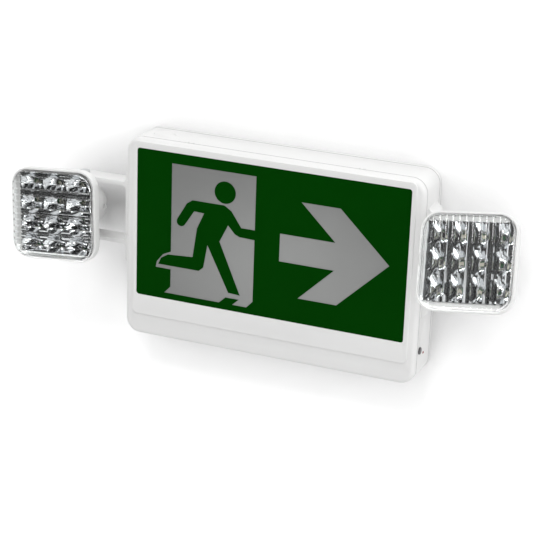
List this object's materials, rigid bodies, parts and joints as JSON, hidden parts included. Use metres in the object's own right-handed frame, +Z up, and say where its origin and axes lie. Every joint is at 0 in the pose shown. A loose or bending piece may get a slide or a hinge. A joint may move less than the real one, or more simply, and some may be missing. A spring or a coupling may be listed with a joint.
{
  "type": "emergency exit light",
  "caption": "Wall-mounted emergency exit light: slim white housing with a lit green running-man and arrow legend, and an adjustable square lamp head on an arm at each side.",
  "frame": {"origin": "centre of the housing's back face, on the wall and on the axis of the supply entry", "axes": "+Z up, +Y out of the back face into the wall, +X to the right of someone facing the legend, which looks towards -Y"},
  "size_m": [0.5099, 0.1084, 0.203],
  "materials": {
    "housing_white": "fine satin moulded ABS",
    "legend_green": "translucent green print on clear film",
    "legend_opal": "opal acrylic",
    "tray_white": "matt white moulding",
    "circuit_board": "solder-masked glass laminate",
    "led_phosphor": "phosphor-filled silicone",
    "screw_steel": "zinc plated",
    "transformer_core": "varnished laminations",
    "capacitor_sleeve": "shrink sleeve",
    "terminal_plastic": "moulded nylon",
    "battery_sleeve": "shrink sleeve over sealed cells",
    "button_black": "moulded",
    "indicator_red": "clear tinted acrylic",
    "reflector_silver": "vacuum metallised mirror finish",
    "lens_clear": "clear fluted polycarbonate"
  },
  "bodies": {
    "housing": {"arm_screws": "screw_steel", "back_plate": "housing_white", "battery_pack": "battery_sleeve", "battery_strap": "screw_steel", "capacitors": "capacitor_sleeve", "charger_board": "circuit_board", "charger_screws": "screw_steel", "frame_screws": "screw_steel", "front_cover": "housing_white", "housing_frame": "housing_white", "left_arm": "housing_white", "left_pivot_screws": "screw_steel", "legend_film": "legend_green", "legend_panel": "legend_opal", "light_tray": "tray_white", "right_arm": "housing_white", "right_pivot_screws": "screw_steel", "sign_led_strips": "circuit_board", "sign_leds": "led_phosphor", "status_light": "indicator_red", "strap_screws": "screw_steel", "terminal_block": "terminal_plastic", "test_board": "circuit_board", "test_board_screw": "screw_steel", "test_switch": "terminal_plastic", "transformer": "transformer_core", "tray_screws": "screw_steel"},
    "left_knuckle_body": {"left_knuckle": "housing_white", "left_tilt_pin": "screw_steel"},
    "left_stem_body": {"left_stem": "housing_white", "left_stem_washer": "screw_steel", "left_stem_screw": "screw_steel"},
    "left_head_body": {"left_head_shell": "housing_white", "left_lamp_board": "circuit_board", "left_lamp_leds": "led_phosphor", "left_lamp_board_screws": "screw_steel", "left_reflector": "reflector_silver", "left_lens": "lens_clear"},
    "right_knuckle_body": {"right_knuckle": "housing_white", "right_tilt_pin": "screw_steel"},
    "right_stem_body": {"right_stem": "housing_white", "right_stem_washer": "screw_steel", "right_stem_screw": "screw_steel"},
    "right_head_body": {"right_head_shell": "housing_white", "right_lamp_board": "circuit_board", "right_lamp_leds": "led_phosphor", "right_lamp_board_screws": "screw_steel", "right_reflector": "reflector_silver", "right_lens": "lens_clear"},
    "button_body": {"test_button": "button_black"}
  },
  "joints": [
    {"name": "left_lamp_pan", "type": "hinge", "parent": "housing", "child": "left_knuckle_body", "pos_m": [-0.2095, -0.026, 0.0185], "axis": [0, 0, 1], "range_deg": [-91.5, 8.5]},
    {"name": "left_lamp_tilt", "type": "hinge", "parent": "left_knuckle_body", "child": "left_stem_body", "pos_m": [-0.2095, -0.026, 0.0185], "axis": [0.9997, 0.0262, 0], "range_deg": [-19.5, 30.5]},
    {"name": "left_lamp_turn", "type": "hinge", "parent": "left_stem_body", "child": "left_head_body", "pos_m": [-0.2095, -0.026, 0.0185], "axis": [-0.0261, 0.9951, -0.0958], "range_deg": [-90, 90]},
    {"name": "right_lamp_pan", "type": "hinge", "parent": "housing", "child": "right_knuckle_body", "pos_m": [0.2095, -0.026, 0.0185], "axis": [0, 0, 1], "range_deg": [-7.5, 92.5]},
    {"name": "right_lamp_tilt", "type": "hinge", "parent": "right_knuckle_body", "child": "right_stem_body", "pos_m": [0.2095, -0.026, 0.0185], "axis": [0.999, -0.0436, 0], "range_deg": [-1, 49]},
    {"name": "right_lamp_turn", "type": "hinge", "parent": "right_stem_body", "child": "right_head_body", "pos_m": [0.2095, -0.026, 0.0185], "axis": [0.0398, 0.9127, -0.4067], "range_deg": [-90, 90]},
    {"name": "test_button_push", "type": "slide", "parent": "housing", "child": "button_body", "axis": [-1, 0, 0], "range_m": [0, 0.001], "stiffness_N_per_m": 800, "springref_m": -0.0005}
  ]
}
